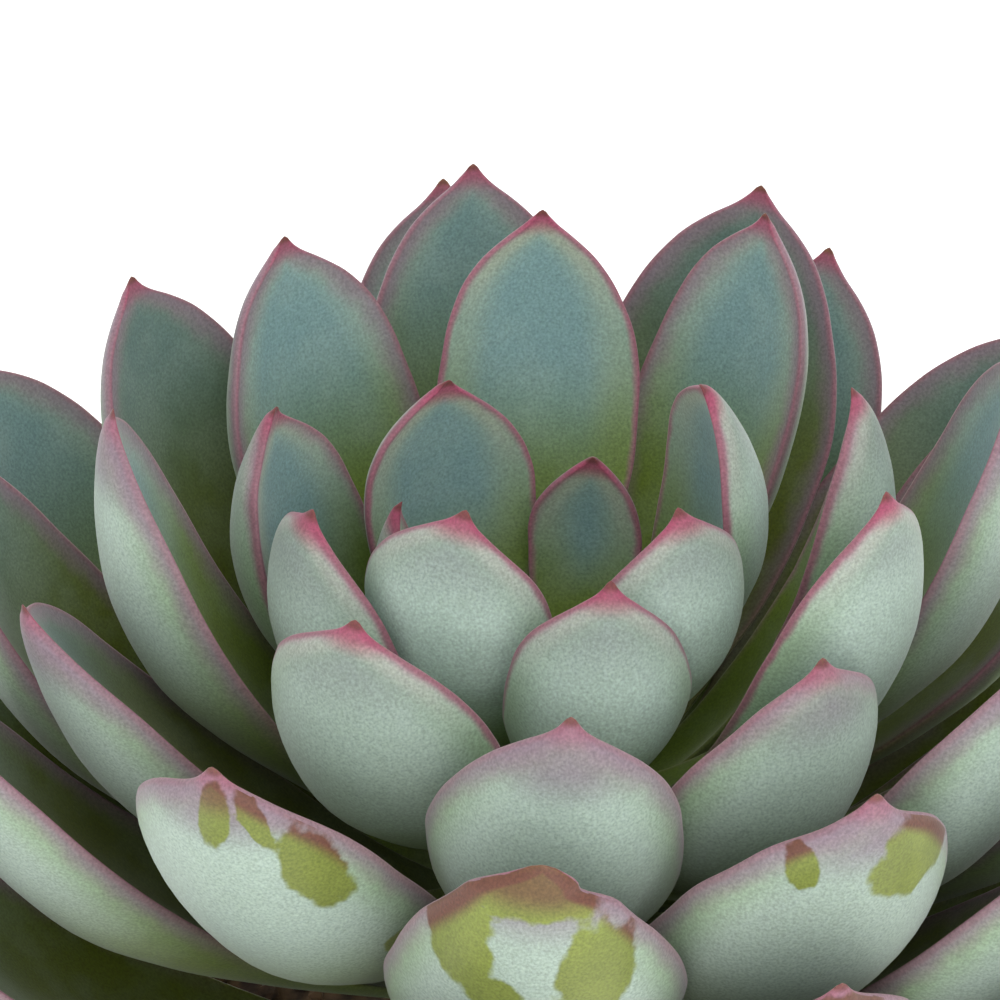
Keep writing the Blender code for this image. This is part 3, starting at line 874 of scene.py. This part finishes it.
# %% Unglazed clay
def make_clay():
    """Fired red clay without a glaze: matt, a little uneven, with pale salts and specks of sand."""
    clay, tree = start_material("unglazed_red_clay", {"Roughness": 0.88})
    place = add(tree, "ShaderNodeTexCoord", output="Object")
    height = add(tree, "ShaderNodeSeparateXYZ", {0: place}, "Z")
    kiln = add(tree, "ShaderNodeTexNoise", {"Vector": place, "Scale": 1 / (35 * MM), "Detail": 3.0})
    salts = add(tree, "ShaderNodeTexNoise", {"Vector": place, "Scale": 1 / (6 * MM), "Detail": 10.0})
    # Sand grains of about 0.3 mm are drawn twice as coarse so that they show.
    sand = add(tree, "ShaderNodeTexNoise", {"Vector": place, "Scale": 1 / (0.6 * MM), "Detail": 2.0})
    fired = add(tree, "ShaderNodeMapRange", {0: kiln, 1: 0.3, 2: 0.7}, **SOFT)
    low = add(tree, "ShaderNodeMapRange", {0: height, 1: 50 * MM, 2: 0.0, 4: 0.1}, **SOFT)
    wet = add(tree, "ShaderNodeMath", {0: salts, 1: low}, operation="ADD")
    bloom = add(tree, "ShaderNodeMapRange", {0: wet, 1: 0.5, 2: 0.85, 4: 0.34}, **SOFT)
    specks = add(tree, "ShaderNodeMapRange", {0: sand, 1: 0.62, 2: 0.7, 4: 0.35}, **SOFT)
    face = ink("#8f472d")
    for share, colour in ((fired, "#a35d3e"), (bloom, "#c4a890"), (specks, "#7d3c28")):
        face = add(tree, "ShaderNodeMix", {0: share, 6: face, 7: ink(colour)}, **BLEND)
    return finish_material(clay, face, sand, 0.5, 0.12)


pot.data.materials.clear()
pot.data.materials.append(make_clay())
print("clay:", pot.data.materials[0].name)

# %% [markdown]
# ## The soil
# Succulents stand in a gritty mix: dark peat crumbs with white perlite and grey grit, so that water runs
# off. The fill is one turned body with a blind hole for the stem. The hole slants with the stem, and the top
# is raised into crumbs by noise.

# %% Fill the pot
STEM_HOLE_R = 7.3
HOLE_DEPTH = 30.0
GAP = 0.3
SOIL_EDGE_R = pot_inside(SOIL_TOP) - 2 * GAP
SOIL_FOOT = POT_FLOOR + GAP
SOIL_STEP = 0.7
SOIL_SIDES = 220


def soil_relief(x, y):
    """Low crumbs and hollows, the same as those of the solid soil."""
    low = np.sin(0.31 * x + 1.3) * np.cos(0.27 * y - 0.4)
    crumbs = np.sin(0.83 * x - 0.5 * y + 2.1) + np.cos(0.71 * y + 0.44 * x)
    return 0.7 * low + 0.28 * crumbs


# Corners as (radius, height, rounding): down in the hole, up its wall, over the top and down by the pot.
soil_profile = [
    (0, SOIL_TOP - HOLE_DEPTH, 0),
    (STEM_HOLE_R, SOIL_TOP - HOLE_DEPTH, 0),
    (STEM_HOLE_R, SOIL_TOP + 0.8, 1.0),
    (SOIL_EDGE_R, SOIL_TOP - 0.2, 0.8),
    (pot_inside(SOIL_FOOT) - 0.5, SOIL_FOOT, 2.0),
    (0, SOIL_FOOT, 0),
]
soil = turn_profile("soil_fill", divided(rounded(soil_profile), SOIL_STEP), SOIL_SIDES)
points = read_points(soil)
radius = np.hypot(points[:, 0], points[:, 1])
near_top = np.clip((points[:, 2] - SOIL_TOP + 3) / 2, 0, 1)
off_wall = np.clip((SOIL_EDGE_R - radius + 0.4) / 2, 0.2, 1)
on_top = near_top * off_wall
points[:, 2] += on_top * soil_relief(points[:, 0], points[:, 1])
in_hole = (radius < STEM_HOLE_R + 0.5) & (points[:, 2] < SOIL_TOP)
points[in_hole, 0] -= (SOIL_TOP - points[in_hole, 2]) * tan(ROSETTE_LEAN)
crumb = 0.45 * lumps(points, 2.4, 2) + 0.3 * np.abs(lumps(points, 1.3, 3))
points[:, 2] += on_top * crumb
write_points(soil, points)
bpy.ops.object.shade_smooth()
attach(soil, "root")
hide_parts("soil")
print("soil faces:", len(soil.data.polygons))

# %% [markdown]
# ## Crumbs, perlite and grit
# Loose grains lie on the soil's top at random, with a fixed seed. Each is a small ball of few faces,
# squashed and dented, and its middle lies a quarter of its radius above the soil.


# %% Strew the grains
GRAIN_MODELS = 3
STEM_CLEARANCE = 1.5
WALL_CLEARANCE = 1.2
GRAIN_RISE = 0.25
ABOVE_SOIL = 100.0


def make_stone(name, size, dent, seed, detail):
    """One rough grain about the origin, `size` millimetres in radius."""
    bpy.ops.object.select_all(action="DESELECT")
    bpy.ops.mesh.primitive_ico_sphere_add(subdivisions=detail + 1, radius=size * MM)
    stone = bpy.context.object
    stone.name = name
    points = read_points(stone)
    points *= (1 + dent * lumps(points, size, seed))[:, None]
    write_points(stone, points)
    return stone


def strew(name, count, sizes, coat, seed, dent=0.45, flat=0.7, detail=1):
    """Lays many copies of three grains on the soil and joins them into one piece."""
    draw = np.random.default_rng(seed)
    models = [make_stone(f"{name}_{k}", 1.0, dent, seed + k, detail) for k in range(GRAIN_MODELS)]
    nearest, farthest = STEM_HOLE_R + STEM_CLEARANCE, SOIL_EDGE_R - WALL_CLEARANCE
    laid = []
    for i in range(count):
        size = draw.uniform(*sizes)
        out = sqrt(draw.uniform(nearest**2, (farthest - size) ** 2))
        angle = draw.uniform(0, 2 * pi)
        above = Vector((out * cos(angle), out * sin(angle), ABOVE_SOIL)) * MM
        hit = ground.ray_cast(above, Vector((0, 0, -1)))[0]
        grain = models[i % GRAIN_MODELS].copy()
        grain.data = grain.data.copy()
        bpy.context.scene.collection.objects.link(grain)
        grain.location = hit + Vector((0, 0, size * GRAIN_RISE * MM))
        grain.rotation_euler = draw.uniform(0, 2 * pi, 3)
        grain.scale = (size, size * draw.uniform(0.7, 1), size * draw.uniform(flat, 1))
        laid.append(grain)
    for model in models:
        bpy.data.objects.remove(model)
    bpy.ops.object.select_all(action="DESELECT")
    for grain in laid:
        grain.select_set(True)
    bpy.context.view_layer.objects.active = laid[0]
    bpy.ops.object.join()
    joined = bpy.context.object
    joined.name = joined.data.name = name
    bpy.ops.object.transform_apply(location=True, rotation=True, scale=True)
    bpy.ops.object.shade_smooth_by_angle(angle=radians(35))
    joined.data.materials.clear()
    joined.data.materials.append(coat)
    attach(joined, "root")


def grainy(name, dark, light, speck_size, roughness, depth):
    """A matt, mottled mineral or peat finish. Its specks and their depth are in millimetres."""
    made, tree = start_material(name, {"Roughness": roughness})
    place = add(tree, "ShaderNodeTexCoord", output="Object")
    settings = {"Vector": place, "Scale": 1 / (speck_size * MM), "Detail": 4.0}
    speck = add(tree, "ShaderNodeTexNoise", settings)
    share = add(tree, "ShaderNodeMapRange", {0: speck, 1: 0.35, 2: 0.65}, **SOFT)
    face = add(tree, "ShaderNodeMix", {0: share, 6: ink(dark), 7: ink(light)}, **BLEND)
    return finish_material(made, face, speck, 0.8, depth)


print("kinds of grain to model:", GRAIN_MODELS)

# %% Coat the soil and strew it
CRUMBS = 620
PERLITE = 90
GRIT = 110
peat = grainy("peaty_soil", "#2a1e16", "#58432f", 2.4, 0.95, 0.4)
soil.data.materials.clear()
soil.data.materials.append(peat)
ground = BVHTree.FromObject(soil, bpy.context.evaluated_depsgraph_get())
perlite = grainy("perlite_grains", "#c9c5ba", "#efede6", 1.1, 0.9, 0.2)
grey_stone = grainy("grey_grit", "#6d6a63", "#9c968a", 2.0, 0.7, 0.2)
strew("soil_crumbs", CRUMBS, (0.5, 1.5), peat, 11, detail=0)
strew("perlite", PERLITE, (0.6, 1.5), perlite, 12, dent=0.3)
strew("grit", GRIT, (0.7, 1.6), grey_stone, 13, flat=0.6)
print("grains:", CRUMBS + PERLITE + GRIT)

# %% [markdown]
# ## The stem
# Below its leaves the stem is woody and short. Every leaf that dropped has left a scar, a low lens-shaped
# shelf, and the scars climb on the same spiral as the leaves. Between them the bark is finely wrinkled
# lengthwise. The stem is drawn in by the depth of its wrinkles, so that it keeps to the solid one.

# %% Turn the stem and mark the scars
STEM_R = 7.0
STEM_DEPTH = 29.5
STEM_FOOT = -(ROSETTE_Z - SOIL_TOP) / cos(ROSETTE_LEAN) - STEM_DEPTH
STEM_WIDENS_AT = -57.0
STEM_FULL_BELOW = -49.5
STEM_STEP = 0.6
STEM_SIDES = 96
WRINKLE_DEPTH = 0.12
SHELF_HEIGHT = 0.3
SCAR_DEPTH = 0.2
SCAR_HALF_WIDE = 4.2
SCAR_HALF_HIGH = 1.5
SCAR_BEND = 0.35
LAST_SCAR = 92

# Corners as (radius, height, rounding): the foot, the bare part, the leafy part and a low dome on top.
stem_profile = [
    (0, STEM_FOOT, 0),
    (STEM_R, STEM_FOOT, 1.5),
    (STEM_R, STEM_WIDENS_AT, 3),
    (stem_radius(OLDEST), STEM_FULL_BELOW, 2),
]
stem_profile += [(stem_radius(n), -GROWING_POINT - PITCH * n, 0.5) for n in (46, 30, 15, 10, 5, 1)]
stem_profile += [(2.6, -12.6, 0.3), (0, -12.2, 0)]
stem = turn_profile("woody_stem", divided(rounded(stem_profile), STEM_STEP), STEM_SIDES)
points = read_points(stem)
around = np.arctan2(points[:, 1], points[:, 0])
radius = np.hypot(points[:, 0], points[:, 1])
side = np.clip((radius - 3) / 2, 0, 1)
swell = WRINKLE_DEPTH * lumps(np.stack([around * 9, around * 0, points[:, 2] / 6], 1), 1.6, 4)
scarred = np.zeros(len(points))
for n in [*sorted(DROPPED), *range(OLDEST + 1, LAST_SCAR)]:
    angle = radians(FIRST_ANGLE + DIVERGENCE * n) - pi / 2
    off = (around - angle + pi) % (2 * pi) - pi
    x = off * radius / SCAR_HALF_WIDE
    z = (points[:, 2] + GROWING_POINT + PITCH * n) / SCAR_HALF_HIGH
    lens = 1 - x**2 - (z + SCAR_BEND * x**2) ** 2
    scarred = np.maximum(scarred, lens)
shelf = SHELF_HEIGHT * np.clip(scarred * 3 + 0.8, 0, 1) - SCAR_DEPTH * np.clip(scarred * 2, 0, 1)
grown = (swell + shelf) * side - WRINKLE_DEPTH
points[:, :2] += points[:, :2] / np.maximum(radius, 1e-6)[:, None] * grown[:, None]
note(stem, "scar", scarred)
to_ground = np.array(rosette_place)
write_points(stem, points @ to_ground[:3, :3].T + to_ground[:3, 3])
bpy.ops.object.shade_smooth()
print("points on the stem:", len(points), "scarred:", int((scarred > 0).sum()))

# %% [markdown]
# ## The finish of the stem
# Old stem skin dries to a matt brown bark, with fibres about a millimetre apart that run up the stem. Each
# scar has a pale rim and a dark middle. The young stem between the leaves is still green.


# %% Woody bark
def make_bark():
    """Dry, matt and fibrous bark with scars, green between the leaves."""
    bark, tree = start_material("woody_bark", {"Roughness": 0.82})
    place = add(tree, "ShaderNodeTexCoord", output="Object")
    scar = add(tree, "ShaderNodeAttribute", output="Fac", attribute_name="scar")
    drawn_out = add(tree, "ShaderNodeMapping", {0: place, "Scale": (1, 1, 0.25)})
    settings = {"Vector": drawn_out, "Scale": 1 / (1.1 * MM), "Detail": 4.0}
    fibre = add(tree, "ShaderNodeTexNoise", settings)
    fibrous = add(tree, "ShaderNodeMapRange", {0: fibre, 1: 0.3, 2: 0.7}, **SOFT)
    rim = add(tree, "ShaderNodeMapRange", {0: scar, 1: 0.0, 2: 0.25, 4: 0.8}, **SOFT)
    middle = add(tree, "ShaderNodeMapRange", {0: scar, 1: 0.75, 2: 0.95, 4: 0.7}, **SOFT)
    height = add(tree, "ShaderNodeSeparateXYZ", {0: place}, "Z")
    young = add(tree, "ShaderNodeMapRange", {0: height, 1: 98 * MM, 2: 112 * MM, 4: 0.9}, **SOFT)
    face = ink("#5b4a31")
    coats = [(fibrous, "#8a7750"), (rim, "#b39a6c"), (middle, "#54402a"), (young, "#66783a")]
    for share, colour in coats:
        face = add(tree, "ShaderNodeMix", {0: share, 6: face, 7: ink(colour)}, **BLEND)
    return finish_material(bark, face, fibre, 0.7, 0.25)


stem.data.materials.clear()
stem.data.materials.append(make_bark())
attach(stem, "root")
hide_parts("stem")
print("stem faces:", len(stem.data.polygons))

# %% [markdown]
# ## The heart
# New leaves unfold from a bud at the very top of the stem. The photo hides it behind the inner leaves. Six
# small upright leaves close it, folded into each other, and made by the same rule of a leaf.

# %% Close the heart
# Each leaf of the heart has an angle and a slope in degrees, and a length, a half width and the radius of
# its foot in millimetres.
HEART = (
    (40, 80, 10.5, 3.3, 1.6),
    (178, 81, 10.0, 3.1, 1.5),
    (316, 82, 9.5, 2.9, 1.4),
    (94, 84, 8.6, 2.5, 0.8),
    (232, 86, 7.8, 2.1, 0.6),
    (10, 88, 6.8, 1.7, 0.3),
)
HEART_POINTS = 32
for i, (angle, slope, length, half_width, foot_r) in enumerate(HEART):
    bud = add_ball(f"heart_leaf_{i}", HEART_POINTS, HEART_POINTS)
    rule = {
        "angle": radians(angle),
        "slope": radians(slope),
        "chord": length,
        "foot_r": foot_r,
        "foot_z": -14.0,
        "half": half_width,
        "curve": radians(40),
        "roll": 0,
        "thick": 0.28,
        "age": 0,
        "seed": 70 + i,
    }
    back, side, upper = shape_leaf(bud, rule)
    rub(bud, back, side, upper, [])
    bud.data.materials.append(leaf_skin)
    face_outward(bud)
    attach(bud, "root")
print("heart leaves:", len(HEART))

# %% [markdown]
# ## A withered leaf
# The oldest leaves dry out and drop. One lies on the soil with its tip over the rim: a thin brown husk that
# has curled back on itself and wrinkled lengthwise as its water went.

# %% Wither a leaf
FOLD_DEPTH = 0.45
WARP_DEPTH = 0.5
WARP_SIZE = 7.0
husk = add_ball("withered_leaf", 96, 80)
shrunk = {
    "angle": radians(-99),
    "slope": radians(14),
    "chord": 34.0,
    "foot_r": 19.5,
    "foot_z": 80.6,
    "half": 6.5,
    "curve": radians(-36),
    "roll": 0,
    "thick": 0.4,
    "age": 1,
    "seed": 90,
}
back, side, upper = shape_leaf(husk, shrunk, leaning=False)
points = read_points(husk)
folds = np.stack([back / 9, side * 1.1, back * 0], axis=1)
points[:, 2] += FOLD_DEPTH * lumps(folds, 1.0, 6) * np.clip(back / 2, 0, 1)
points[:, 2] += WARP_DEPTH * lumps(np.stack([back, side, back * 0], axis=1), WARP_SIZE, 7)
write_points(husk, points)
print("withered leaf points:", len(points))

# %% [markdown]
# ## The finish of the withered leaf
# A dead leaf is like brown paper: dull, blotched where it dried unevenly, and darkest along its curled edge.


# %% Withered skin
def make_husk_skin():
    """Dull, blotched brown paper with a dark edge."""
    skin, tree = start_material("withered_leaf_skin", {"Roughness": 0.7})
    place = add(tree, "ShaderNodeTexCoord", output="Object")
    edge = add(tree, "ShaderNodeAttribute", output="Fac", attribute_name="edge")
    blotch = add(tree, "ShaderNodeTexNoise", {"Vector": place, "Scale": 1 / (3.8 * MM), "Detail": 5.0})
    blotched = add(tree, "ShaderNodeMapRange", {0: blotch, 1: 0.35, 2: 0.65}, **SOFT)
    depth = add(tree, "ShaderNodeMath", {0: edge}, operation="ABSOLUTE")
    rim = add(tree, "ShaderNodeMapRange", {0: depth, 1: 1.2, 2: 0.2, 4: 0.8}, **SOFT)
    face = ink("#6b3a2a")
    for share, colour in ((blotched, "#a8795a"), (rim, "#55241f")):
        face = add(tree, "ShaderNodeMix", {0: share, 6: face, 7: ink(colour)}, **BLEND)
    return finish_material(skin, face, blotch, 0.7, 0.3)


husk.data.materials.append(make_husk_skin())
face_outward(husk)
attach(husk, "root")
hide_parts("dry_leaf")
print("withered skin:", husk.data.materials[0].name)

# %% [markdown]
# ## Floor, light and background
# A plain pale floor runs on behind the plant. The light is soft and comes from all round, as in a studio
# tent, with one panel above and a larger one in front, both a little to the right.

# %% Stage and light
FLOOR_SIZE = 8
FLOOR_GLOW = 0.35
TENT_LIGHT = 1.15
WHITE = (1, 1, 1, 1)
bpy.ops.object.select_all(action="DESELECT")
bpy.ops.mesh.primitive_plane_add(size=FLOOR_SIZE)
floor = bpy.context.object
floor.name = "floor"
paper_looks = {
    "Base Color": ink("#f4f4f3"),
    "Roughness": 0.9,
    "Emission Color": WHITE,
    "Emission Strength": FLOOR_GLOW,
}
floor.data.materials.append(start_material("white_paper", paper_looks)[0])

world = bpy.data.worlds.new("tent")
bpy.context.scene.world = world
world.use_nodes = True
world.node_tree.nodes["Background"].inputs[0].default_value = WHITE
world.node_tree.nodes["Background"].inputs[1].default_value = TENT_LIGHT

# Each panel has a name, a place and a width in metres, and a power in watts. It faces the plant.
PANELS = (
    ("panel_above", (0.15, -0.4, 1.2), 0.7, 1.5),
    ("panel_front", (0.2, -1.1, 0.6), 1.0, 7.0),
)
PLANT_MIDDLE = Vector((0, 0, 0.12))
for name, place, width, power in PANELS:
    bpy.ops.object.light_add(type="AREA", location=place)
    lamp = bpy.context.object
    lamp.name = name
    lamp.data.size = width
    lamp.data.energy = power
    lamp.rotation_euler = (PLANT_MIDDLE - Vector(place)).to_track_quat("-Z", "Y").to_euler()
bpy.context.scene.view_settings.view_transform = "Standard"
print("panels:", len(PANELS), "round a tent of strength", TENT_LIGHT)
